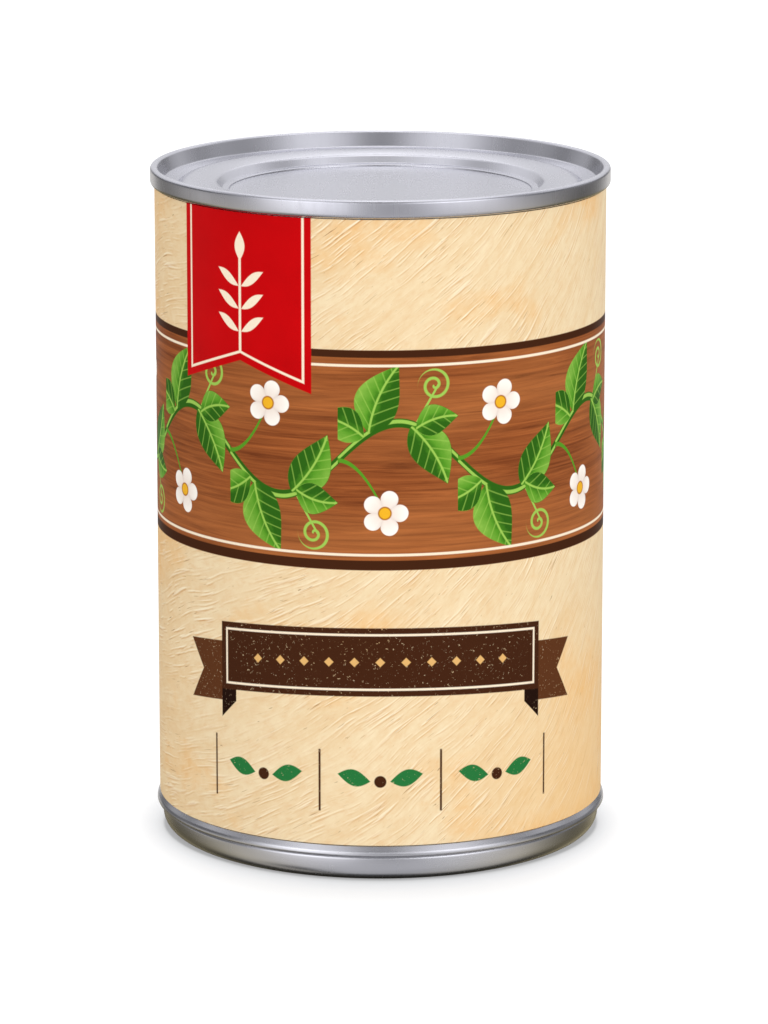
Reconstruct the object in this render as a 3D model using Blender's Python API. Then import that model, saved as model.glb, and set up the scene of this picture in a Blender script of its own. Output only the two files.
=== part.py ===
"""A sealed steel food can of the 300 x 407 size with a plain wrap-around paper label.

Metres, +Z up, the origin at the middle of the base. The can is a two-piece one: a drawn body whose
base, stacking foot and rolling bead are all one sheet, and a top end that is double seamed on to it.
Every round piece is a sheet outline in the (radius, height) plane that is spun about the Z axis.
"""

from math import cos, pi, radians, sin, tan

import bmesh
import bpy
from mathutils import Vector

MM = 0.001

# The standard size: 3 inches over the top seam and 4 7/16 inches high
SEAM_RADIUS = 38.1 * MM
CAN_HEIGHT = 112.7 * MM
STEEL = 0.22 * MM
SHEET_GAP = 0.3 * MM

# Drawn body: base panel, stacking foot, rolling bead and wall
WALL_RADIUS = 37.05 * MM
BEAD_RADIUS = 37.84 * MM
BEAD_CREASE = 4.7 * MM
FOOT_RADIUS = 36.88 * MM
FOOT_HEIGHT = 4.0 * MM
FOOT_BEND = 2.5 * MM
FOOT_INNER_RADIUS = 32.9 * MM
BASE_PANEL_HEIGHT = 2.3 * MM
BASE_CENTRE_HEIGHT = 3.4 * MM
BASE_PANEL_RADIUS = 32.0 * MM
BASE_CENTRE_RADIUS = 24.5 * MM

# Top end: seam, chuck wall, countersink groove, raised ring and sunk centre panel
SEAM_HEIGHT = 2.8 * MM
SEAM_INNER_RADIUS = 36.95 * MM
CROWN_BEND = 0.45 * MM
GROOVE_RADIUS = 34.4 * MM
GROOVE_DEPTH = 3.2 * MM
RING_RADIUS = 32.5 * MM
RING_INNER_RADIUS = 27.1 * MM
RING_CROWN_RADIUS = 30.5 * MM
RING_CROWN = 0.45 * MM
RING_DEPTH = 2.1 * MM
CENTRE_RADIUS = 25.3 * MM
CENTRE_DEPTH = 4.2 * MM

# Paper label: one wrap, glued where its ends lap at the back
LABEL_RADIUS = 37.42 * MM
PAPER = 0.12 * MM
LABEL_BOTTOM = 6.4 * MM
LABEL_TOP = 109.55 * MM
LAP_WIDTH = 8.0 * MM
LAP_RAMP = 0.25 * MM
LAP_ANGLE = pi / 2

# What the can is packed with, up to the free space below the end
FILL_TOP = 101.5 * MM
FILL_EDGE_BEND = 3.0 * MM

SIDES = 60
SMOOTH_ANGLE = radians(35)
BEND_STEP = radians(32)


def material(name, colour, roughness, metallic):
    """A Principled material of one colour."""
    made = bpy.data.materials.new(name)
    made.use_nodes = True
    shader = made.node_tree.nodes["Principled BSDF"]
    shader.inputs["Base Color"].default_value = (*colour, 1.0)
    shader.inputs["Roughness"].default_value = roughness
    shader.inputs["Metallic"].default_value = metallic
    return made


def rounded(corners):
    """The line through (radius, height, bend) corners, with an arc of that bend radius at each."""
    line = []
    for i, (r, z, bend) in enumerate(corners):
        here = Vector((r, z))
        if bend == 0:
            line.append(here)
            continue
        back = (Vector(corners[i - 1][:2]) - here).normalized()
        ahead = (Vector(corners[i + 1][:2]) - here).normalized()
        half = back.angle(ahead) / 2
        turn = pi - 2 * half
        centre = here + (back + ahead).normalized() * (bend / sin(half))
        start = here + back * (bend / tan(half)) - centre
        side = 1 if back.x * ahead.y - back.y * ahead.x < 0 else -1
        steps = max(1, round(turn / BEND_STEP))
        for k in range(steps + 1):
            a = side * turn * k / steps
            spoke = Vector((start.x * cos(a) - start.y * sin(a), start.x * sin(a) + start.y * cos(a)))
            line.append(centre + spoke)
    return line


def beside(line, distance):
    """The line moved sideways by a distance, to its left for a positive one."""
    moved = []
    for i, point in enumerate(line):
        ways = []
        if i > 0:
            ways.append((point - line[i - 1]).normalized())
        if i < len(line) - 1:
            ways.append((line[i + 1] - point).normalized())
        left = [Vector((-way.y, way.x)) for way in ways]
        middle = sum(left, Vector((0, 0))).normalized()
        moved.append(point + middle * (distance / middle.dot(left[0])))
    return moved


def sheet(corners):
    """The closed outline of a steel sheet whose middle line has these corners."""
    middle = rounded(corners)
    return beside(middle, STEEL / 2) + beside(middle, -STEEL / 2)[::-1]


def add_piece(name, bm, finish):
    """A named object from a closed mesh, with its faces pointing out."""
    bmesh.ops.recalc_face_normals(bm, faces=bm.faces)
    mesh = bpy.data.meshes.new(name)
    bm.to_mesh(mesh)
    bm.free()
    mesh.shade_smooth()
    mesh.set_sharp_from_angle(angle=SMOOTH_ANGLE)
    mesh.materials.append(finish)
    made = bpy.data.objects.new(name, mesh)
    bpy.context.scene.collection.objects.link(made)
    return made


def turned(name, outline, finish):
    """A solid of revolution: an outline that is closed by itself, or by the axis, spun about Z."""
    bm = bmesh.new()
    points = [bm.verts.new((r, 0, z)) for r, z in outline]
    edges = [bm.edges.new(pair) for pair in zip(points, points[1:])]
    if outline[0].x > 0:
        edges.append(bm.edges.new((points[-1], points[0])))
    bmesh.ops.spin(
        bm, geom=points + edges, cent=(0, 0, 0), axis=(0, 0, 1), angle=2 * pi, steps=SIDES, use_merge=True
    )
    bmesh.ops.remove_doubles(bm, verts=bm.verts, dist=1e-7)
    return add_piece(name, bm, finish)


def can_body():
    """The drawn body: base panel, foot, crease, rolling bead, wall and the rim inside the seam."""
    half = STEEL / 2
    wall = WALL_RADIUS - half
    bead = BEAD_RADIUS - half
    rim = SEAM_RADIUS - STEEL - SHEET_GAP - half
    seam_bottom = CAN_HEIGHT - SEAM_HEIGHT
    outline = sheet([
        (0, BASE_CENTRE_HEIGHT + half, 0),
        (BASE_CENTRE_RADIUS, BASE_CENTRE_HEIGHT + half, 0.8 * MM),
        (BASE_CENTRE_RADIUS + 1.8 * MM, BASE_PANEL_HEIGHT + half, 0.8 * MM),
        (BASE_PANEL_RADIUS, BASE_PANEL_HEIGHT + half, 0.7 * MM),
        (FOOT_INNER_RADIUS, half, 0.6 * MM),
        (FOOT_RADIUS - half, half, FOOT_BEND),
        (FOOT_RADIUS - half, FOOT_HEIGHT, 0.6 * MM),
        (FOOT_RADIUS - 0.5 * MM, FOOT_HEIGHT + 0.45 * MM, 0.15 * MM),
        (bead, BEAD_CREASE, 0.15 * MM),
        (bead, BEAD_CREASE + 0.65 * MM, 1.4 * MM),
        (wall, LABEL_BOTTOM - 0.05 * MM, 0.4 * MM),
        (wall, seam_bottom + 0.7 * MM, 0.8 * MM),
        (rim, seam_bottom + 1.6 * MM, 0.8 * MM),
        (rim, CAN_HEIGHT - STEEL - SHEET_GAP - 0.1 * MM, 0),
    ])
    return turned("can_body", outline, material("body steel", (0.62, 0.62, 0.65), 0.28, 1.0))


def can_end():
    """The top end: sunk centre, crowned ring, countersink groove, chuck wall and the seam's cover."""
    half = STEEL / 2
    crown = CAN_HEIGHT - half
    ring = CAN_HEIGHT - RING_DEPTH - half
    groove = CAN_HEIGHT - GROOVE_DEPTH - half
    centre = CAN_HEIGHT - CENTRE_DEPTH - half
    seam_bottom = CAN_HEIGHT - SEAM_HEIGHT + half
    cover = SEAM_RADIUS - half
    outline = sheet([
        (0, centre, 0),
        (CENTRE_RADIUS, centre, 0.9 * MM),
        (RING_INNER_RADIUS, ring - RING_CROWN, 0.9 * MM),
        (RING_CROWN_RADIUS, ring, 6.0 * MM),
        (RING_RADIUS, ring - 0.2 * MM, 0.6 * MM),
        (GROOVE_RADIUS - 0.9 * MM, groove, 0.6 * MM),
        (GROOVE_RADIUS + 1.4 * MM, groove, 1.5 * MM),
        (SEAM_INNER_RADIUS + half, crown, CROWN_BEND),
        (cover, crown, CROWN_BEND),
        (cover, seam_bottom, 0.6 * MM),
        (cover - 0.63 * MM, seam_bottom, 0),
    ])
    return turned("can_end", outline, material("end steel", (0.66, 0.66, 0.69), 0.3, 1.0))


def paper_label():
    """The label: one turn of paper, twice as thick where its last end is glued over its first."""
    half_lap = LAP_WIDTH / LABEL_RADIUS / 2
    ramp = LAP_RAMP / LABEL_RADIUS
    free_ends = (-half_lap - ramp, -half_lap, half_lap, half_lap + ramp)
    stops = sorted([i * 2 * pi / SIDES - pi for i in range(SIDES)] + list(free_ends))
    bm = bmesh.new()
    columns = []
    for stop in stops:
        outer = LABEL_RADIUS + (PAPER if abs(stop) < half_lap + ramp / 2 else 0)
        inner = LABEL_RADIUS - PAPER
        way = Vector((cos(LAP_ANGLE + stop), sin(LAP_ANGLE + stop), 0))
        corners = ((outer, LABEL_BOTTOM), (outer, LABEL_TOP), (inner, LABEL_TOP), (inner, LABEL_BOTTOM))
        columns.append([bm.verts.new(way * r + Vector((0, 0, z))) for r, z in corners])
    for i, column in enumerate(columns):
        before = columns[i - 1]
        for k in range(4):
            bm.faces.new((before[k], column[k], column[k - 3], before[k - 3]))
    return add_piece("paper_label", bm, material("label paper", (0.93, 0.8, 0.6), 0.4, 0.0))


def contents():
    """The packed beans and their brine, as one round-edged fill that stands clear of the steel."""
    radius = WALL_RADIUS - STEEL - SHEET_GAP
    bottom = BASE_CENTRE_HEIGHT + STEEL + SHEET_GAP
    outline = rounded([
        (0, bottom, 0),
        (radius, bottom, FILL_EDGE_BEND),
        (radius, FILL_TOP, 0),
        (0, FILL_TOP, 0),
    ])
    return turned("contents", outline, material("beans in brine", (0.35, 0.42, 0.14), 0.5, 0.0))


def main():
    for old in list(bpy.data.objects):
        bpy.data.objects.remove(old)
    can_body()
    can_end()
    paper_label()
    contents()


main()
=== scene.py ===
"""The looks of a sealed steel food can with a wrap-around paper label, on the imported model.

Metres, +Z up, the camera on the -Y side. The steel pieces are turned from sheet outlines, the label
is one wrapped sheet, and its print is drawn by shader maths in millimetres round and up the wall.
"""
from math import cos, pi, radians, sin, tan

import bmesh
import bpy
from mathutils import Matrix, Vector, noise


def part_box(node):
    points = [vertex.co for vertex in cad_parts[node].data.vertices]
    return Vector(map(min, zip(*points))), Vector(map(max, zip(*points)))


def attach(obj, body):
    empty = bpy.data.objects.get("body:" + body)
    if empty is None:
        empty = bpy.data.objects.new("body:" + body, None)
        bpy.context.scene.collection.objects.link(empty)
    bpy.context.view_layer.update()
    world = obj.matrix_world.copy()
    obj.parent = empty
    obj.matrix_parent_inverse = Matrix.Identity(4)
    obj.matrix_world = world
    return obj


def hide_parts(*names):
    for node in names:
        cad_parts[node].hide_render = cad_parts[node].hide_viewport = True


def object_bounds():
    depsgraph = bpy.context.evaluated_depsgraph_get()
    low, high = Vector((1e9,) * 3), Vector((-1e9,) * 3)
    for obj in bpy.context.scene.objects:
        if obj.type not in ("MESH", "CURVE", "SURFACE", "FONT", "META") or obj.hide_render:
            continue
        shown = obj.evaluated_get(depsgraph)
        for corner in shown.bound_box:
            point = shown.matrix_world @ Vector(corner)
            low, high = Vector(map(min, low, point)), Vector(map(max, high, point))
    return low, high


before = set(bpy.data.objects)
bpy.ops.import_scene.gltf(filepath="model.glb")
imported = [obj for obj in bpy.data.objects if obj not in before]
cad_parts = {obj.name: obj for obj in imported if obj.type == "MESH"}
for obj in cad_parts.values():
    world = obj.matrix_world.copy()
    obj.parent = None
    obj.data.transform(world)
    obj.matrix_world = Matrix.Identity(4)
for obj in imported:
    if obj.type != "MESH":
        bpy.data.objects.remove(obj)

MM = 0.001
cad_low, cad_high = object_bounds()

# Sizes that the frame gives
CAN_HEIGHT = cad_high.z
SEAM_RADIUS = cad_high.x
BEAD_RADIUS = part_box("can_body")[1].x
LABEL_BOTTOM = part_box("paper_label")[0].z
LABEL_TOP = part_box("paper_label")[1].z

# Sizes that the frame doesn't give, as the solids have them; a depth is measured down from the top
STEEL = 0.22 * MM
SHEET_GAP = 0.3 * MM
WALL_RADIUS = 37.05 * MM
BEAD_CREASE = 4.7 * MM
FOOT_RADIUS = 36.88 * MM
FOOT_HEIGHT = 4.0 * MM
FOOT_BEND = 2.5 * MM
FOOT_INNER_RADIUS = 32.9 * MM
BASE_PANEL_HEIGHT = 2.3 * MM
BASE_PANEL_RADIUS = 32.0 * MM
BASE_CENTRE_HEIGHT = 3.4 * MM
BASE_CENTRE_RADIUS = 24.5 * MM
SEAM_BOTTOM = CAN_HEIGHT - 2.8 * MM
SEAM_INNER_RADIUS = 36.95 * MM
CROWN_BEND = 0.45 * MM
RING_DEPTH = 2.1 * MM
GROOVE_DEPTH = 3.2 * MM
CENTRE_DEPTH = 4.2 * MM
LABEL_RADIUS = 37.42 * MM
PAPER = 0.12 * MM
LAP_WIDTH = 8.0 * MM
LAP_RAMP = 0.25 * MM

# The top end's own sizes, finer here than in the solids
STEP_RADIUS = 25.1 * MM
STEP_HEIGHT = 0.26 * MM
STEP_BEND = 0.13 * MM
SLOPE_RADIUS = 26.2 * MM
RING_INNER_RADIUS = 27.2 * MM
RING_OUTER_RADIUS = 31.8 * MM
GROOVE_RADIUS = 33.6 * MM
CHUCK_FOOT_RADIUS = 36.0 * MM
CHUCK_HEIGHT = 2.45 * MM
SEAM_TUCK = 0.2 * MM

# How finely round pieces are made
TURNS = 240
BEND_STEP = radians(9)
SMOOTH_ANGLE = radians(40)
MERGE_DISTANCE = 0.001 * MM


def linear(red, green, blue):
    """A colour as a screen shows it, from 0 to 255, as the light values that shaders take."""
    parts = [c / 255 for c in (red, green, blue)]
    return tuple(c / 12.92 if c <= 0.04045 else ((c + 0.055) / 1.055) ** 2.4 for c in parts) + (1.0,)


class Wire:
    """One value in a node tree; Python's operators on it add the Math nodes."""

    def __init__(self, tree, socket):
        self.tree = tree
        self.socket = socket

    def math(self, operation, *others, clamp=False):
        values = {i: value for i, value in enumerate((self, *others))}
        return self.tree.add("ShaderNodeMath", values, operation=operation, use_clamp=clamp)

    def __add__(self, other):
        return self.math("ADD", other)

    def __sub__(self, other):
        return self.math("SUBTRACT", other)

    def __rsub__(self, other):
        return (self * -1) + other

    def __mul__(self, other):
        return self.math("MULTIPLY", other)

    def __truediv__(self, other):
        return self.math("DIVIDE", other)

    def __pow__(self, other):
        return self.math("POWER", other)

    def __abs__(self):
        return self.math("ABSOLUTE")

    def __mod__(self, other):
        return self.math("FLOORED_MODULO", other)

    def __gt__(self, other):
        return self.math("GREATER_THAN", other)

    __radd__ = __add__
    __rmul__ = __mul__

    def least(self, other):
        return self.math("MINIMUM", other)

    def most(self, other):
        return self.math("MAXIMUM", other)

    def sine(self):
        return self.math("SINE")

    def cosine(self):
        return self.math("COSINE")

    def clamped(self):
        return self.math("ADD", 0.0, clamp=True)

    def fade(self, width=0.16):
        """1 well inside, where the value is over 0, and 0 outside, with a soft edge."""
        return (self / width).math("ADD", 0.5, clamp=True)

    def line(self, middle, width):
        """1 on a line of this width, where the value is near its middle."""
        return (width / 2 - abs(self - middle)).fade()


class Tree:
    """A node tree that is filled by calls."""

    def __init__(self, filled):
        self.nodes = filled.nodes
        self.links = filled.links

    def set(self, node, values):
        """Sets or links a node's sockets, by number or name."""
        for key, value in values.items():
            if isinstance(value, Wire):
                self.links.new(value.socket, node.inputs[key])
            else:
                node.inputs[key].default_value = value

    def add(self, kind, values, output=0, stops=(), **settings):
        """A new node: first its settings and a ramp's stops, then its sockets; gives one output."""
        node = self.nodes.new(kind)
        for name, value in settings.items():
            setattr(node, name, value)
        if stops:
            steps = node.color_ramp.elements
            while len(steps) < len(stops):
                steps.new(0.5)
            for step, (place, colour) in zip(steps, stops):
                step.position = place
                step.color = colour
        self.set(node, values)
        return None if output is None else Wire(self, node.outputs[output])

    def mix(self, factor, under, over, blend="MIX"):
        """Colour over laid on colour under by a factor."""
        sockets = {0: factor, 6: under, 7: over}
        return self.add("ShaderNodeMix", sockets, output=2, data_type="RGBA", blend_type=blend)

    def vector(self, x, y, z):
        return self.add("ShaderNodeCombineXYZ", {0: x, 1: y, 2: z})

    def noise(self, place, scale, detail=3.0, roughness=0.5, distortion=0.0):
        return self.add("ShaderNodeTexNoise", {
            "Vector": place, "Scale": scale, "Detail": detail, "Roughness": roughness,
            "Distortion": distortion,
        })

    def split(self, place):
        """The three parts of a vector."""
        node = self.nodes.new("ShaderNodeSeparateXYZ")
        self.links.new(place.socket, node.inputs[0])
        return [Wire(self, socket) for socket in node.outputs]

    def several(self, kind):
        """All the outputs of a new node."""
        return [Wire(self, socket) for socket in self.nodes.new(kind).outputs]

    def bump(self, height, strength, distance):
        sockets = {"Height": height, "Strength": strength, "Distance": distance}
        return self.add("ShaderNodeBump", sockets)


def finish_of(name, **fixed):
    """A new material, its tree and its Principled shader with the given plain values."""
    made = bpy.data.materials.new(name)
    made.use_nodes = True
    shader = made.node_tree.nodes["Principled BSDF"]
    for key, value in fixed.items():
        shader.inputs[key.replace("_", " ")].default_value = value
    return made, Tree(made.node_tree), shader


# Outlines of turned sheet steel


def rounded(corners):
    """The line through (radius, height, bend) corners, with an arc of that bend radius at each."""
    line = []
    for i, (r, z, bend) in enumerate(corners):
        here = Vector((r, z))
        if bend == 0:
            line.append(here)
            continue
        back = (Vector(corners[i - 1][:2]) - here).normalized()
        ahead = (Vector(corners[i + 1][:2]) - here).normalized()
        half = back.angle(ahead) / 2
        turn = pi - 2 * half
        centre = here + (back + ahead).normalized() * (bend / sin(half))
        start = here + back * (bend / tan(half)) - centre
        side = 1 if back.x * ahead.y - back.y * ahead.x < 0 else -1
        steps = max(2, round(turn / BEND_STEP))
        for k in range(steps + 1):
            a = side * turn * k / steps
            spoke = Vector((start.x * cos(a) - start.y * sin(a), start.x * sin(a) + start.y * cos(a)))
            line.append(centre + spoke)
    return line


def beside(line, distance):
    """The line moved sideways by a distance, to its left for a positive one."""
    moved = []
    for i, point in enumerate(line):
        ways = []
        if i > 0:
            ways.append((point - line[i - 1]).normalized())
        if i < len(line) - 1:
            ways.append((line[i + 1] - point).normalized())
        left = [Vector((-way.y, way.x)) for way in ways]
        middle = sum(left, Vector((0, 0))).normalized()
        moved.append(point + middle * (distance / middle.dot(left[0])))
    return moved


def sheet(corners):
    """The closed outline of a steel sheet whose middle line has these corners."""
    middle = rounded(corners)
    return beside(middle, STEEL / 2) + beside(middle, -STEEL / 2)[::-1]


def piece_from(bm, name, finish):
    """An object from a closed mesh, with its faces out and shaded smooth."""
    bmesh.ops.recalc_face_normals(bm, faces=bm.faces)
    mesh = bpy.data.meshes.new(name)
    bm.to_mesh(mesh)
    bm.free()
    mesh.shade_smooth()
    mesh.set_sharp_from_angle(angle=SMOOTH_ANGLE)
    mesh.materials.append(finish)
    made = bpy.data.objects.new(name, mesh)
    bpy.context.scene.collection.objects.link(made)
    return made


def opened_group(name, inputs):
    """A new geometry node group with these named and typed inputs, and its tree."""
    group = bpy.data.node_groups.new(name, "GeometryNodeTree")
    group.interface.new_socket("Shape", in_out="OUTPUT", socket_type="NodeSocketGeometry")
    for label, kind in inputs:
        group.interface.new_socket(label, in_out="INPUT", socket_type="NodeSocket" + kind)
    return group, Tree(group)


def close_group(tree, shape, finish):
    """The end of a group: instances made real, the finish set, and the output."""
    shape = tree.add("GeometryNodeRealizeInstances", {0: shape})
    shape = tree.add("GeometryNodeSetMaterial", {"Geometry": shape, "Material": finish})
    tree.add("NodeGroupOutput", {0: shape}, output=None)


def lathe_group():
    """Geometry nodes that turn an outline, points in the XZ plane, about Z and give it its finish."""
    inputs = (("Outline", "Geometry"), ("Turns", "Int"), ("Merge", "Float"), ("Finish", "Material"))
    group, tree = opened_group("lathe", inputs)
    outline, turns, merge, finish = tree.several("NodeGroupInput")[:4]
    points = tree.add("GeometryNodeAttributeDomainSize", {0: outline})
    grid = tree.add("GeometryNodeMeshGrid", {"Vertices X": turns + 1, "Vertices Y": points})
    index = tree.add("GeometryNodeInputIndex", {})
    source = tree.add("GeometryNodeInputPosition", {})
    spot = tree.add(
        "GeometryNodeSampleIndex", {"Geometry": outline, "Value": source, "Index": index % points},
        data_type="FLOAT_VECTOR", domain="POINT",
    )
    radius, _, height = tree.split(spot)
    angle = (index / points).math("FLOOR") / turns * (2 * pi)
    place = tree.vector(radius * angle.cosine(), radius * angle.sine(), height)
    solid = tree.add("GeometryNodeSetPosition", {"Geometry": grid, "Position": place})
    solid = tree.add("GeometryNodeMergeByDistance", {"Geometry": solid, "Distance": merge})
    close_group(tree, solid, finish)
    return group


def grown(name, start, group, sizes):
    """A plain mesh object from a geometry node group, its inputs set by name, on a starting mesh."""
    seed = bpy.data.objects.new(name + "_start", start)
    bpy.context.scene.collection.objects.link(seed)
    modifier = seed.modifiers.new(name, "NODES")
    modifier.node_group = group
    for item in group.interface.items_tree:
        if item.name in sizes:
            modifier[item.identifier] = sizes[item.name]
    shape = bpy.data.meshes.new_from_object(seed.evaluated_get(bpy.context.evaluated_depsgraph_get()))
    seed.modifiers.remove(modifier)
    bpy.data.objects.remove(seed)
    bm = bmesh.new()
    bm.from_mesh(shape)
    for face in bm.faces:
        face.material_index = 0
    return piece_from(bm, name, sizes["Finish"])


def turned(name, outline, finish):
    """A solid of revolution: an outline that the axis closes, turned by the lathe."""
    start = bpy.data.meshes.new(name + "_outline")
    start.from_pydata([(r, 0, z) for r, z in outline], [], [])
    return grown(name, start, LATHE, {"Turns": TURNS, "Merge": MERGE_DISTANCE, "Finish": finish})


def body_outline():
    """Base panel, foot ring, groove, rolling bead, wall and the rim inside the seam."""
    half = STEEL / 2
    wall = WALL_RADIUS - half
    bead = BEAD_RADIUS - half
    foot = FOOT_RADIUS - half
    rim = SEAM_RADIUS - STEEL - SHEET_GAP - half
    return sheet([
        (0, BASE_CENTRE_HEIGHT + half, 0),
        (BASE_CENTRE_RADIUS, BASE_CENTRE_HEIGHT + half, 0.8 * MM),
        (BASE_CENTRE_RADIUS + 1.8 * MM, BASE_PANEL_HEIGHT + half, 0.8 * MM),
        (BASE_PANEL_RADIUS, BASE_PANEL_HEIGHT + half, 0.7 * MM),
        (FOOT_INNER_RADIUS, half, 0.6 * MM),
        (foot - 0.06 * MM, half, FOOT_BEND),
        (foot, FOOT_HEIGHT, 0.6 * MM),
        (foot - 0.39 * MM, FOOT_HEIGHT + 0.45 * MM, 0.15 * MM),
        (bead, BEAD_CREASE, 0.22 * MM),
        (bead, BEAD_CREASE + 0.58 * MM, 1.05 * MM),
        (wall, LABEL_BOTTOM - 0.05 * MM, 0.4 * MM),
        (wall, SEAM_BOTTOM + 0.7 * MM, 0.8 * MM),
        (rim, SEAM_BOTTOM + 1.6 * MM, 0.8 * MM),
        (rim, CAN_HEIGHT - STEEL - SHEET_GAP - 0.1 * MM, 0),
    ])


def end_outline():
    """Sunk centre, double step, ring, countersink groove, chuck wall, crown and the seam's cover."""
    half = STEEL / 2
    crown = CAN_HEIGHT - half
    ring = crown - RING_DEPTH
    groove = crown - GROOVE_DEPTH
    centre = crown - CENTRE_DEPTH
    bottom = SEAM_BOTTOM + half - SEAM_TUCK
    cover = SEAM_RADIUS - half
    return sheet([
        (0, centre, 0),
        (STEP_RADIUS, centre, STEP_BEND),
        (STEP_RADIUS + 0.05 * MM, centre + STEP_HEIGHT, STEP_BEND),
        (SLOPE_RADIUS, centre + STEP_HEIGHT + 0.1 * MM, 0.3 * MM),
        (RING_INNER_RADIUS, ring - 0.5 * MM, 0.7 * MM),
        (RING_OUTER_RADIUS, ring, 2.0 * MM),
        (RING_OUTER_RADIUS + 0.8 * MM, ring - 0.3 * MM, 0.5 * MM),
        (GROOVE_RADIUS, groove, 0.6 * MM),
        (CHUCK_FOOT_RADIUS, crown - CHUCK_HEIGHT, 0.5 * MM),
        (SEAM_INNER_RADIUS + half, crown, CROWN_BEND),
        (cover, crown, CROWN_BEND),
        (cover, bottom, 0.6 * MM),
        (cover - 0.63 * MM, bottom, 0),
    ])


# Packed beans

ROWS = 8
SLOTS = 3
ON_A_LAYER = ROWS * SLOTS


def packed_group():
    """Geometry nodes that lay cut beans in rows on layers, each layer turned, in a round fill."""
    kinds = {"Start": "Geometry", "Layers": "Int", "Seed": "Int", "Finish": "Material"}
    names = (
        "Start", "Layers", "Layer Pitch", "Row Pitch", "Slot Pitch", "Layer Turn", "Bottom",
        "Fill Radius", "Bean Length", "Bean Radius", "Bean Bend", "Seed", "Finish",
    )
    inputs = [(name, kinds.get(name, "Float")) for name in names]
    group, tree = opened_group("packed_layers", inputs)
    given = tree.several("NodeGroupInput")[1:len(names)]
    layers, layer_pitch, row_pitch, slot_pitch, layer_turn, bottom = given[:6]
    fill, length, thick, bend, seed, finish = given[6:]
    index = tree.add("GeometryNodeInputIndex", {})
    layer = (index / ON_A_LAYER).math("FLOOR")
    place = index % ON_A_LAYER
    y = ((place / SLOTS).math("FLOOR") - (ROWS - 1) / 2) * row_pitch
    staggered = (abs(y) > row_pitch) * (row_pitch * 3 > abs(y))
    x = (place % SLOTS - (SLOTS - 1) / 2 - staggered * 0.5) * slot_pitch
    corner_x = abs(x) + length / 2
    corner_y = abs(y) + thick
    inside = fill * fill > corner_x * corner_x + corner_y * corner_y
    turn = layer * layer_turn
    spot = tree.vector(
        x * turn.cosine() - y * turn.sine(),
        x * turn.sine() + y * turn.cosine(),
        bottom + thick + layer * layer_pitch,
    )
    points = tree.add("GeometryNodeMeshLine", {"Count": layers * ON_A_LAYER})
    points = tree.add("GeometryNodeSetPosition", {"Geometry": points, "Position": spot})

    middle_line = tree.add("GeometryNodeCurveQuadraticBezier", {
        "Resolution": 8,
        "Start": tree.vector(length * -0.5, 0.0, 0.0),
        "Middle": tree.vector(0.0, 0.0, bend),
        "End": tree.vector(length * 0.5, 0.0, 0.0),
    })
    ring = tree.add(
        "GeometryNodeCurvePrimitiveCircle", {"Resolution": 12, "Radius": thick}, mode="RADIUS"
    )
    bean = tree.add("GeometryNodeCurveToMesh", {
        "Curve": middle_line, "Profile Curve": ring, "Fill Caps": True,
    })
    random = "FunctionNodeRandomValue"
    roll = tree.add(random, {2: 0.0, 3: 2 * pi, 8: seed}, output=1, data_type="FLOAT")
    size = tree.add(random, {2: 0.86, 3: 1.0, 8: seed + 1}, output=1, data_type="FLOAT")
    packed = tree.add("GeometryNodeInstanceOnPoints", {
        "Points": points, "Selection": inside, "Instance": bean,
        "Rotation": tree.vector(roll, 0.0, turn), "Scale": tree.vector(size, 1.0, 1.0),
    })
    close_group(tree, packed, finish)
    return group


def packed_beans(finish):
    """The cut beans that the can holds, up to the free space under its end."""
    low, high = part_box("contents")
    start = bpy.data.meshes.new("beans_start")
    return grown("packed_beans", start, packed_group(), {
        "Layers": 11, "Layer Pitch": 8.85 * MM, "Row Pitch": 8.6 * MM, "Slot Pitch": 22.4 * MM,
        "Layer Turn": radians(137.5), "Bottom": low.z + 0.1 * MM, "Fill Radius": high.x - 0.3 * MM,
        "Bean Length": 21.0 * MM, "Bean Radius": 4.1 * MM, "Bean Bend": 1.0 * MM, "Seed": 7,
        "Finish": finish,
    })


def bean_skin():
    """Wet cooked green pods, darker in places."""
    made, tree, shader = finish_of("wet_pods", Roughness=0.3)
    place = tree.add("ShaderNodeTexCoord", {}, output=3)
    cloud = tree.noise(place, 160.0, 4.0)
    spots = tree.noise(place, 900.0, 2.0)
    colour = tree.mix(((cloud - 0.3) * 2.4).clamped(), linear(86, 104, 34), linear(132, 148, 62))
    tree.set(shader, {
        "Base Color": tree.mix(((spots - 0.62) * 8).clamped() * 0.5, colour, linear(70, 78, 30)),
        "Normal": tree.bump(cloud, 0.3, 0.0003),
    })
    return made


# Steel finishes


def tinplate(name, grain, tint, roughness):
    """Bright tinned steel: rolled grain along Y, or turned lines round the can, and faint scuffs."""
    made, tree, shader = finish_of(name, Metallic=1.0)
    place = tree.add("ShaderNodeTexCoord", {}, output=3)
    x, y, z = tree.split(place)
    if grain == "rolled":
        along = tree.vector(x * 700, y * 14, z * 14)
    else:
        along = tree.vector(x * 30, y * 30, z * 2400)
    lines = tree.noise(along, 1.0, 3.0, 0.6)
    cloud = tree.noise(place, 70.0, 3.0)
    scuff = tree.noise(tree.vector(x * 900, y * 900, z * 300), 1.0, 2.0)
    dull = ((scuff - 0.62) * 5).clamped()
    darker = [c * 0.93 for c in tint]
    tree.set(shader, {
        "Base Color": tree.mix(lines * 0.35 + cloud * 0.3, linear(*tint), linear(*darker)),
        "Roughness": roughness + (lines - 0.5) * 0.1 + (cloud - 0.5) * 0.1 + dull * 0.06,
        "Normal": tree.bump(lines * 0.8 + cloud * 0.2, 0.06, 0.00003),
    })
    return made


# Label print, in millimetres: u runs round the wall from its front, v up from the floor

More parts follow.
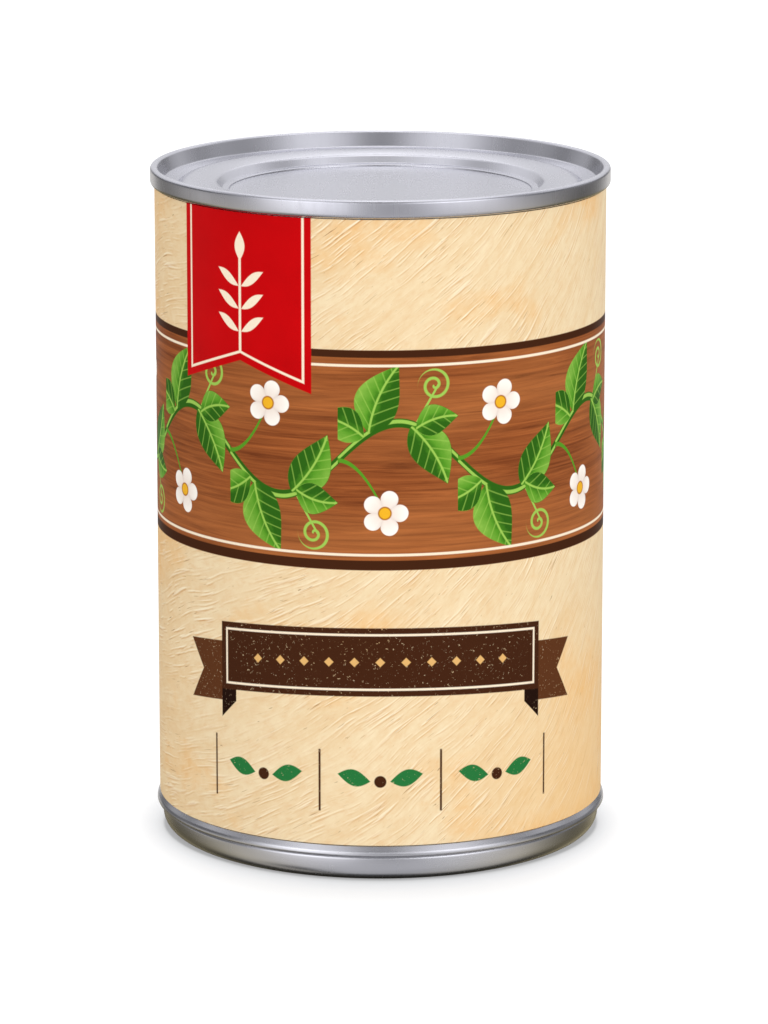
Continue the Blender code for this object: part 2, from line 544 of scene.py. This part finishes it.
WRAP_RADIUS = LABEL_RADIUS / MM
ROUND = 2 * pi * WRAP_RADIUS
BAND_MIDDLE = 70.5
BAND_HALF = 18.0
PENNANT_MIDDLE = -24.2
PENNANT_HALF = 13.0
PENNANT_NOTCH = 85.5
RIBBON_HALF = 28.6
RIBBON_HALF_HEIGHT = 5.7
RIBBON_FOLD = 25.5
ROW_MIDDLE = 17.2
ROW_PITCH = 20.0
PANEL_PLACE = 88.0
PANEL_MIDDLE = 30.0
PANEL_HALF = 16.5
PANEL_HALF_HEIGHT = 16.0

CREAM = linear(247, 232, 205)
GREEN_DEEP = linear(44, 98, 20)
GREEN = linear(84, 150, 36)
GREEN_PALE = linear(154, 198, 84)
RED = linear(204, 2, 8)
BOARD = linear(172, 98, 50)
BOARD_DARK = linear(112, 56, 26)
INK = linear(66, 34, 16)
PETAL = linear(250, 246, 236)
YOLK = linear(236, 178, 40)
PAPER_TONE = (0.935, 0.915, 0.905, 1)


def place_of(tree):
    """u and v as wires, in millimetres, from the label's own map."""
    flat = tree.add("ShaderNodeUVMap", {}, uv_map="print")
    u, v, _ = tree.split(flat)
    return u / MM, v / MM


def wood(tree, u, v):
    """Pale planed wood: a fine mottle, slanted scratches that steepen to the right, golden patches."""
    climb = u * 0.75 - (u / 40).cosine() * 22
    wander = (tree.noise(tree.vector(u * 0.03, v * 0.03, 3.0), 1.0, 2.0) - 0.5) * 8
    across = (v - climb) * 0.76 + wander
    along = u * 0.9 + v * 0.55
    bands = tree.noise(tree.vector(along * 0.05, across * 0.36, 7.0), 1.0, 4.0, 0.62)
    mottle = tree.noise(tree.vector(along * 0.45, across * 0.8, 2.0), 1.0, 4.0, 0.65)
    patches = tree.noise(tree.vector(u * 0.05, v * 0.06, 12.4), 1.0, 4.0, 0.55)
    worked = tree.noise(tree.vector(u * 0.06, v * 0.06, 19.0), 1.0, 2.0)
    strength = ((worked - 0.38) * 3.4).clamped() * 0.8 + 0.2
    colour = tree.mix(((bands - 0.32) * 2.6).clamped(), linear(230, 203, 158), linear(238, 219, 180))
    colour = tree.mix(((0.52 - mottle) * 3.2).clamped() * 0.55, colour, linear(224, 184, 134))
    colour = tree.mix(((mottle - 0.55) * 3.2).clamped() * 0.5, colour, linear(248, 234, 202))
    low_right = (((u - 10) / WRAP_RADIUS).sine() * 1.4).clamped() * ((46 - v) / 34).clamped()
    # Painted shade: towards the left side the wood is tinted warmer and darker and grows more gold
    left = ((u / WRAP_RADIUS).sine() * -4 - 3).clamped()
    gold_and_painted_shade = low_right * 0.09 + left * 0.05
    gold = ((patches - 0.55 + gold_and_painted_shade) * 6).clamped() * ((mottle * -1.6 + 1.35).clamped() * 0.7 + 0.3)
    colour = tree.mix(gold * 0.7, colour, linear(236, 180, 104))
    # More golden tint low on the right, and painted shade on the left side
    colour = tree.mix(low_right * 0.55 + left * 0.2, colour, linear(236, 188, 118))
    scratch_shade = linear(204, 152, 96)
    scratch_light = linear(251, 240, 210)
    # Long and short scratches, each with a shaded side
    for seed, width, length in ((0.0, 1.7, 0.10), (40.0, 3.2, 0.16)):
        scratch = tree.noise(tree.vector(along * length, across * width, seed), 1.0, 2.0)
        shade = tree.noise(tree.vector(along * length, (across + 0.24) * width, seed), 1.0, 2.0)
        colour = tree.mix(((shade - 0.6) * 14).clamped() * strength * 0.6, colour, scratch_shade)
        colour = tree.mix(((scratch - 0.6) * 14).clamped() * strength * 0.75, colour, scratch_light)
    slivers = tree.noise(tree.vector(along * 0.2, across * 3.4, 17.0), 1.0, 2.0)
    colour = tree.mix(((slivers - 0.66) * 16).clamped() * strength * 0.8, colour, linear(158, 108, 60))
    flecks = tree.noise(tree.vector(along * 0.5, across * 2.2, 31.0), 1.0, 3.0)
    return tree.mix(((flecks - 0.7) * 18).clamped() * 0.55, colour, linear(128, 82, 42))


def leaf(s, t, base, degrees, length, half_width, bend):
    """One leaf from its base point: its mask, and how far along and across it a place is."""
    a = radians(degrees)
    ds = s - base[0]
    dt = t - base[1]
    along = (ds * cos(a) + dt * sin(a)) / length
    across = dt * cos(a) - ds * sin(a) - along * (1 - along) * (bend * 4)
    inside = (along * along.most(0.001).least(1.0) ** -0.25).clamped()
    edge = (inside * pi).sine() * half_width - abs(across) - 0.1
    return edge.fade(), along * length, across


def vine(tree, u, v, ground):
    """A leafy, flowering vine on a band: one cell that is turned over at every half wave."""
    cell = ROUND / 12
    shifted = u + cell * 0.35
    s = shifted % cell
    side = ((shifted / (2 * cell)) % 1.0 > 0.5) * -2 + 1
    t = (v - BAND_MIDDLE) * side
    wave = (s * (pi / cell)).sine() * 6.2

    # A coiled tendril on a thin shoot
    coil_pitch = 1.5
    tendril_s = s - 15.6
    tendril_t = t - 12.2
    reach = (tendril_s * tendril_s + tendril_t * tendril_t) ** 0.5
    round_it = tendril_t.math("ARCTAN2", tendril_s) / (2 * pi)
    coil = abs((reach / coil_pitch - round_it) % 1.0 - 0.5) * coil_pitch
    curl = (0.24 - coil).fade() * (2.7 - reach).fade()
    rise = (s - 12.4) / 3.6 * 6.2
    shoot = (tendril_t + 6.6 - rise).line(0, 0.7) * ((s - 12.6).fade() * (16.2 - s).fade())

    colour = tree.mix(curl.most(shoot), ground, GREEN_PALE)

    # The waving stem and the flower's stalk
    stem = wave - t
    colour = tree.mix(stem.line(0, 1.5), colour, GREEN_DEEP)
    colour = tree.mix(stem.line(-0.25, 0.6), colour, GREEN_PALE)
    stalk = (t + s * s * 0.149).line(0, 0.7) * (6.8 - s).fade()
    colour = tree.mix(stalk, colour, GREEN)

    # Four overlapping leaves with pale ribs
    leaves = (
        leaf(s, t, (5.0, 4.6), 66, 12.2, 3.7, 0.9),
        leaf(s, t, (4.2, 3.9), 158, 8.6, 2.9, -0.8),
        leaf(s, t, (11.8, 5.6), -58, 11.6, 3.4, 0.8),
        leaf(s, t, (12.6, 5.2), 14, 7.4, 2.6, 0.7),
    )
    mask, along, across = leaves[0]
    for other, other_along, other_across in leaves[1:]:
        along = along * (1 - other) + other_along * other
        across = across * (1 - other) + other_across * other
        mask = mask.most(other)
    veins = abs((along - abs(across) * 0.9) % 1.9 - 0.95).line(0, 0.26) * 0.5
    mottle = tree.noise(tree.vector(u, v, 5.0), 0.7, 3.0)
    blade = tree.mix((across * 0.5 + mottle * 1.4 - 0.2).clamped(), GREEN_DEEP, GREEN)
    blade = tree.mix(((across - 0.6) * 0.45).clamped() * mottle, blade, GREEN_PALE)
    blade = tree.mix(veins, blade, GREEN_PALE)
    blade = tree.mix(across.line(0, 0.34), blade, GREEN_PALE)
    colour = tree.mix(mask, colour, blade)

    # A flower of five round petals
    petal_s = s - 7.6
    petal_t = t + 8.6
    out = (petal_s * petal_s + petal_t * petal_t) ** 0.5
    spread = petal_t.math("ARCTAN2", petal_s) * 2.5
    lobes = abs(spread.cosine()) ** 0.6
    bloom = lobes * 1.7 + 2.1 - out
    tone = tree.mix((out / 3.4).clamped(), linear(232, 214, 200), PETAL)
    between = (1 - lobes * 1.25).clamped() * (out / 3).clamped() * 0.6
    tone = tree.mix(between, tone, linear(196, 176, 164))
    tone = tree.mix((1.0 - out).fade(), tone, YOLK)
    tone = tree.mix(out.line(1.0, 0.24), tone, linear(176, 112, 30))
    return tree.mix(bloom.fade(), colour, tone)


def board_band(tree, u, v):
    """The brown board that the vine runs along, with its grain."""
    grain = tree.noise(tree.vector(u * 0.05, v * 1.3, 23.0), 1.0, 5.0, 0.65, 0.6)
    tone = tree.noise(tree.vector(u * 0.03, v * 0.08, 29.0), 1.0, 2.0)
    colour = tree.mix(((grain - 0.35) * 2.6).clamped(), BOARD_DARK, BOARD)
    colour = tree.mix((tone - 0.35).clamped() * 0.9, colour, linear(206, 132, 74))
    return tree.mix(((0.36 - grain) * 8).clamped() * 0.6, colour, INK)


def pennant(tree, u, v, colour):
    """A red hanging pennant with a notched end, a cream line inside its edge and a plain sprig."""
    side = abs((u - PENNANT_MIDDLE + ROUND / 4) % (ROUND / 2) - ROUND / 4)
    bottom = PENNANT_NOTCH - side * 0.34
    edge = (PENNANT_HALF - side).least(v - bottom)
    cloth = tree.mix(tree.noise(tree.vector(u, v, 41.0), 0.16, 3.0), linear(182, 1, 5), RED)
    colour = tree.mix(edge.fade(), colour, cloth)
    colour = tree.mix(edge.line(1.4, 0.42), colour, CREAM)
    # The sprig: blades in rising pairs, a tip and a stem
    pitch = 3.7
    lowest = 88.2
    rise = v - side * 0.62
    p = ((side - 0.1) / 4.6).clamped()
    q = (rise - lowest) % pitch - pitch / 2
    blades = ((p * pi).sine() * 0.95 - abs(q) - 0.1).fade()
    blades = blades * (rise - lowest).fade() * (lowest + 3 * pitch - rise).fade()
    tip = ((((v - 101.6) / 5.0).clamped() * pi).sine() * 1.1 - side - 0.1).fade()
    stem = (0.24 - side).fade() * (v - 86.8).fade() * (102.4 - v).fade()
    return tree.mix(blades.most(tip).most(stem), colour, CREAM)


def ribbon(tree, u, v, colour, ink):
    """A dark swallow-tailed ribbon across the front, left bare but for its inner line and studs."""
    middle = (u / 46).cosine() * 7.0 + 30.2
    side = abs(u)
    off = abs(v - middle)
    past = side - RIBBON_FOLD
    tail_off = abs(v - middle + 2.6)
    tail = (36.6 - side - (1 - tail_off / 5.4) * 3.4).least(5.0 - tail_off).least(past)
    colour = tree.mix(tail.fade() * ink, colour, linear(92, 52, 26))
    fold = (RIBBON_HALF - side).least(past).least(middle - v - 5.3).least(past * 0.9 + v - middle + 7.6)
    colour = tree.mix(fold.fade() * ink, colour, linear(34, 16, 8))
    body = (RIBBON_HALF - side).least(RIBBON_HALF_HEIGHT - off)
    colour = tree.mix(body.fade() * ink, colour, INK)
    colour = tree.mix(body.line(1.15, 0.36) * ink, colour, CREAM)
    stud_pitch = 4.2
    gap = abs((u + stud_pitch / 2) % stud_pitch - stud_pitch / 2)
    stud = (0.62 - gap * 0.8 - off * 0.8).fade() * (23.8 - side).fade()
    return tree.mix(stud * ink, colour, linear(222, 176, 108))


def border_row(tree, u, v, colour, ink):
    """A low row of small leaf pairs between thin upright rules, under the ribbon."""
    lift = v - ROW_MIDDLE
    cell = (u + ROW_PITCH / 2) % ROW_PITCH - ROW_PITCH / 2
    across = abs(cell)
    in_row = (ROW_PITCH * 1.5 + 1.0 - abs(u)).fade()
    in_cells = (ROW_PITCH * 1.5 - 2.0 - abs(u)).fade() * ink
    rule = (ROW_PITCH / 2 - across).line(0, 0.36) * (5.2 - abs(lift)).fade() * in_row
    colour = tree.mix(rule * ink, colour, INK)
    p = ((across - 1.5) / 5.6).clamped()
    blade = (p * pi).sine() * 1.5 - abs(lift - (across - 1.5) * 0.22) - 0.1
    colour = tree.mix(blade.fade() * in_cells, colour, linear(38, 116, 58))
    berry = (1.0 - (cell * cell + lift * lift) ** 0.5).fade()
    return tree.mix(berry * in_cells, colour, INK)


def back_panels(tree, u, v, colour):
    """Two plain cream panels with thin frames and rules, either side of the lap at the back."""
    side = abs(abs(u) - PANEL_PLACE)
    lift = abs(v - PANEL_MIDDLE)
    edge = (PANEL_HALF - side).least(PANEL_HALF_HEIGHT - lift)
    fibres = tree.noise(tree.vector(u, v, 0.0), 3.0)
    paper = tree.mix(fibres, linear(240, 229, 206), linear(246, 237, 216))
    colour = tree.mix(edge.fade(), colour, paper)
    colour = tree.mix(edge.line(0.9, 0.4), colour, INK)
    row_pitch = 4.0
    foot = PANEL_MIDDLE - PANEL_HALF_HEIGHT
    row = abs((v - foot) % row_pitch - row_pitch / 2).line(0, 0.2) * (edge - 2.6).fade()
    return tree.mix(row * 0.85, colour, INK)


def label_print():
    """Printed and lightly varnished paper."""
    made, tree, shader = finish_of("label_print", Specular_IOR_Level=0.03)
    u, v = place_of(tree)
    colour = wood(tree, u, v)
    lift = v - BAND_MIDDLE
    band = BAND_HALF - abs(lift)
    worn = tree.noise(tree.vector(u, v, 37.0), 2.2, 4.0, 0.7)
    ink = 1 - ((worn - 0.62) * 16).clamped() * 0.55
    board = board_band(tree, u, v)
    colour = tree.mix(band.fade(), colour, vine(tree, u, v, board))
    colour = tree.mix(lift.line(0.8 - BAND_HALF, 1.6), colour, INK)
    colour = tree.mix(lift.line(BAND_HALF - 0.6, 1.2), colour, INK)
    colour = tree.mix(band.line(2.5, 0.42), colour, CREAM)
    colour = pennant(tree, u, v, colour)
    colour = ribbon(tree, u, v, colour, ink)
    colour = border_row(tree, u, v, colour, ink)
    colour = back_panels(tree, u, v, colour)
    colour = tree.mix(1.0, colour, PAPER_TONE, blend="MULTIPLY")
    fibres = tree.noise(tree.vector(u, v, 0.0), 4.0, 3.0)
    tree.set(shader, {
        "Base Color": colour,
        "Roughness": 0.42 + (fibres - 0.5) * 0.1,
        "Normal": tree.bump(fibres, 0.12, 0.00002),
    })
    return made


def wrapped_label(finish):
    """The label as one wrapped sheet: its last end rises over its first where they are glued."""
    columns, rows = 400, 64
    ripple = 0.02 * MM
    half_lap = LAP_WIDTH / LABEL_RADIUS / 2
    ramp = LAP_RAMP / LABEL_RADIUS
    start = -pi - half_lap
    sweep = 2 * pi + 2 * half_lap
    bm = bmesh.new()
    print_map = bm.loops.layers.uv.new("print")
    skins = []
    angles = {}
    for depth in (0.0, PAPER * 0.94):
        skin = []
        for i in range(columns + 1):
            a = start + sweep * i / columns
            rise = min(1, max(0, (a - (pi - half_lap - ramp)) / ramp))
            column = []
            for k in range(rows + 1):
                z = LABEL_BOTTOM + (LABEL_TOP - LABEL_BOTTOM) * k / rows
                wave = noise.noise(Vector((cos(a) * 2.2, sin(a) * 2.2, z * 30)))
                r = LABEL_RADIUS + rise * PAPER - depth - ripple * (1 + wave) * (1 - rise)
                vert = bm.verts.new((r * sin(a), -r * cos(a), z))
                angles[vert] = a
                column.append(vert)
            skin.append(column)
        skins.append(skin)
    outer, inner = skins
    faces = []
    for i in range(columns):
        for k in range(rows):
            for skin in skins:
                faces.append((skin[i][k], skin[i + 1][k], skin[i + 1][k + 1], skin[i][k + 1]))
        for k in (0, rows):
            faces.append((outer[i][k], outer[i + 1][k], inner[i + 1][k], inner[i][k]))
    for i in (0, columns):
        for k in range(rows):
            faces.append((outer[i][k], outer[i][k + 1], inner[i][k + 1], inner[i][k]))
    for corners in faces:
        face = bm.faces.new(corners)
        for loop in face.loops:
            loop[print_map].uv = (angles[loop.vert] * LABEL_RADIUS, loop.vert.co.z)
    return piece_from(bm, "label_wrap", finish)


# Studio

LAMP_PLACE = (0.85, -1.2, 0.4)
LAMP_AIM = (0, 0, 50 * MM)
LAMP_WIDTH = 1.4
LAMP_POWER = 5.0
FLOOR_RADIUS = 4.0

# Painted shadow in the floor's glow: its brightness from where the foot stands, at 0, to where the shadow
# ends, at 1
PAINTED_SHADOW_START = 35.1 * MM
PAINTED_SHADOW_WIDTH = 20 * MM
PAINTED_SHADOW_GLOW = ((0.0, 0.35), (0.07, 0.67), (0.14, 0.745), (0.31, 0.82), (0.66, 0.92), (1.0, 1.0))


def soft_light():
    """One wide lamp to the right of the camera, which the steel doesn't mirror."""
    data = bpy.data.lights.new("soft_light", "AREA")
    data.shape = "DISK"
    data.size = LAMP_WIDTH
    data.energy = LAMP_POWER
    lamp = bpy.data.objects.new("soft_light", data)
    bpy.context.scene.collection.objects.link(lamp)
    lamp.location = LAMP_PLACE
    lamp.rotation_mode = "QUATERNION"
    lamp.rotation_quaternion = (lamp.location - Vector(LAMP_AIM)).to_track_quat("Z", "Y")
    lamp.visible_glossy = False


def white_floor():
    """A wide white floor that glows, with a painted soft shadow round the foot, narrower at the can's
    sides.
    """
    made, tree, shader = finish_of("floor_white", Roughness=0.9, Emission_Strength=0.8)
    place = tree.add("ShaderNodeTexCoord", {}, output=3)
    grain = tree.noise(place, 400.0)
    x, y, _ = tree.split(place)
    # The soft shadow is painted into the floor's glow: dark where the foot stands, ending sooner at the
    # can's sides
    reach = (x * x + y * y) ** 0.5
    sideways = abs(x / reach) ** 4
    past_foot = reach - PAINTED_SHADOW_START - sideways * (1.5 * MM)
    away = (past_foot * (sideways * 2.3 + 1) / PAINTED_SHADOW_WIDTH).clamped()
    painted_shadow_stops = [(at, (light, light, light, 1)) for at, light in PAINTED_SHADOW_GLOW]
    tree.set(shader, {
        "Base Color": tree.mix(grain, (0.29, 0.295, 0.3, 1), (0.31, 0.315, 0.32, 1)),
        "Emission Color": tree.add("ShaderNodeValToRGB", {0: away}, stops=painted_shadow_stops),
    })
    bm = bmesh.new()
    bmesh.ops.create_circle(bm, segments=96, radius=FLOOR_RADIUS)
    bm.faces.new(bm.verts)
    floor = piece_from(bm, "floor", made)
    floor.visible_glossy = False


def studio_room():
    """The room round the can: rings of light and dark that the steel mirrors, and white behind."""
    world = bpy.data.worlds.new("studio")
    bpy.context.scene.world = world
    world.use_nodes = True
    tree = Tree(world.node_tree)
    x, y, z = tree.split(tree.add("ShaderNodeTexCoord", {}))
    turn = x.math("ARCTAN2", y * -1) / (2 * pi) + 0.5
    height = z.math("ARCSINE") * (180 / pi)
    room = (TOP_LEVEL, TOP_LEVEL, TOP_LEVEL, 1)
    for upper, blend, warmth, levels in reversed(ROOM):
        ring = tree.add("ShaderNodeValToRGB", {0: turn}, stops=round_stops(levels, warmth))
        room = tree.mix((height - upper).fade(blend), ring, room)
    is_camera_ray = tree.add("ShaderNodeLightPath", {})
    light = tree.mix(is_camera_ray, room, (1, 1, 1, 1))
    background = world.node_tree.nodes["Background"]
    tree.set(background, {"Color": light, "Strength": 1.0})


def round_stops(levels, warmth):
    """Ramp stops round the room from (degrees to the right of the camera, brightness) pairs."""
    stops = []
    for degrees, level in levels:
        warm = warmth * min(1, max(0, (abs(degrees) - 30) / 90))
        colour = (level, level * (1 - 0.13 * warm), level * (1.03 - 0.5 * warm), 1)
        stops.append(((degrees + 180) / 360, colour))
    return stops


# The room as the steel mirrors it: up to each height in degrees, softened over so many degrees, how
# warm its sides are, and the brightness at so many degrees to the right of the camera
ROOM = (
    (-76, 14, 0.0, ((-180, 0.04), (180, 0.04))),
    (-42, 16, 0.6, (
        (-180, 0.02), (-112, 0.04), (-98, 0.45), (-84, 0.55), (-70, 0.22), (-61, 0.02), (-52, 0.15),
        (-40, 0.6), (-22, 0.66), (20, 0.56), (50, 0.66), (84, 0.6), (98, 0.45), (112, 0.04),
        (180, 0.02),
    )),
    (-13.5, 5, 1.0, (
        (-180, 0.02), (-170, 0.06), (-160, 0.34), (-140, 0.13), (-120, 0.16), (-100, 0.4), (-80, 0.68),
        (-60, 0.7), (-40, 0.75), (-20, 0.7), (0, 0.66), (20, 0.68), (40, 0.75), (60, 0.76), (80, 0.7),
        (100, 0.32), (120, 0.15), (140, 0.2), (160, 0.5), (170, 0.06), (180, 0.02),
    )),
    (-4, 6, 0.2, (
        (-180, 0.82), (-165, 0.93), (-158, 1.0), (-147, 0.34), (-135, 0.24), (-120, 0.42), (-100, 0.76),
        (-88, 0.6), (-78, 0.5), (-66, 0.7), (-56, 1.15), (-45, 1.65), (-32, 1.65), (-20, 1.6), (-9, 0.6),
        (9, 0.4), (20, 0.6), (32, 1.0), (46, 1.05), (58, 1.0), (72, 0.7), (85, 0.5), (100, 0.34),
        (120, 0.12), (138, 0.28), (150, 0.6), (158, 1.0), (165, 0.93), (180, 0.82),
    )),
    (10, 5, 0.0, (
        (-180, 0.82), (-167, 0.88), (-156, 0.16), (-137, 0.12), (-118, 0.22), (-100, 0.2), (-85, 0.25),
        (-70, 0.5), (-56, 1.3), (-45, 1.7), (-32, 1.6), (-20, 1.4), (-9, 0.7), (9, 0.55), (20, 0.9),
        (32, 1.5), (45, 1.6), (56, 1.2), (70, 0.5), (85, 0.25), (100, 0.25), (118, 0.35), (137, 0.2),
        (156, 0.16), (167, 0.88), (180, 0.82),
    )),
    (24.5, 5, 0.0, (
        (-180, 0.82), (-160, 0.88), (-142, 0.95), (-130, 0.5), (-119, 0.2), (-100, 0.12), (-85, 0.14),
        (-72, 0.4), (-58, 1.4), (-45, 2.4), (-32, 2.3), (-20, 1.8), (-9, 0.8), (9, 0.8), (20, 1.7),
        (32, 2.5), (45, 2.5), (58, 1.5), (72, 0.4), (85, 0.14), (100, 0.16), (119, 0.3), (128, 0.6),
        (140, 0.95), (160, 0.88), (180, 0.82),
    )),
    (42, 8, 0.0, (
        (-180, 2.1), (-168, 1.3), (-150, 1.1), (-130, 1.1), (-110, 0.9), (-85, 0.35), (-68, 0.55),
        (-55, 1.0), (-40, 1.2), (-22, 1.0), (-8, 0.25), (8, 0.25), (22, 0.95), (40, 1.2), (55, 1.0),
        (68, 0.55), (85, 0.35), (110, 0.9), (130, 1.1), (150, 1.1), (168, 1.3), (180, 2.1),
    )),
    (56, 8, 0.0, (
        (-180, 0.85), (-150, 0.9), (-110, 0.6), (-85, 0.3), (-66, 0.7), (-50, 1.4), (-36, 1.2),
        (-20, 0.9), (-8, 0.4), (8, 0.4), (20, 0.9), (36, 1.2), (50, 1.4), (66, 0.7), (85, 0.3),
        (110, 0.6), (150, 0.9), (180, 0.85),
    )),
    (76, 12, 0.0, (
        (-180, 1.3), (-150, 1.7), (-80, 1.4), (-50, 0.9), (-22, 0.4), (0, 0.15), (22, 0.4), (50, 0.9),
        (80, 1.4), (150, 1.7), (180, 1.3),
    )),
)
TOP_LEVEL = 1.9

CAMERA_PLACE = (0.6 * MM, -833.5 * MM, 242.3 * MM)
CAMERA_PITCH = radians(12.751)
PICTURE_HEIGHT = 1024
FOCAL_PIXELS = 5087.2


def camera():
    """The photograph's view: a long lens a little above the can, which stands just left of the middle."""
    data = bpy.data.cameras.new("camera")
    data.sensor_width = 36
    data.lens = FOCAL_PIXELS * data.sensor_width / PICTURE_HEIGHT
    data.clip_end = 20
    made = bpy.data.objects.new("camera", data)
    bpy.context.scene.collection.objects.link(made)
    made.rotation_mode = "QUATERNION"
    made.location = CAMERA_PLACE
    made.rotation_quaternion = Matrix.Rotation(pi / 2 - CAMERA_PITCH, 3, "X").to_quaternion()
    bpy.context.scene.camera = made


camera()
soft_light()
white_floor()
studio_room()

LATHE = lathe_group()
body_steel = tinplate("body_tinplate", "turned", (199, 199, 204), 0.26)
end_steel = tinplate("end_tinplate", "rolled", (199, 199, 206), 0.27)

body = turned("drawn_body", body_outline(), body_steel)
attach(body, "root")
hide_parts("can_body")

end = turned("seamed_end", end_outline(), end_steel)
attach(end, "root")
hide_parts("can_end")

label = wrapped_label(label_print())
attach(label, "root")
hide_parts("paper_label")

beans = packed_beans(bean_skin())
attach(beans, "root")
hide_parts("contents")

bpy.context.scene.view_settings.view_transform = "Standard"
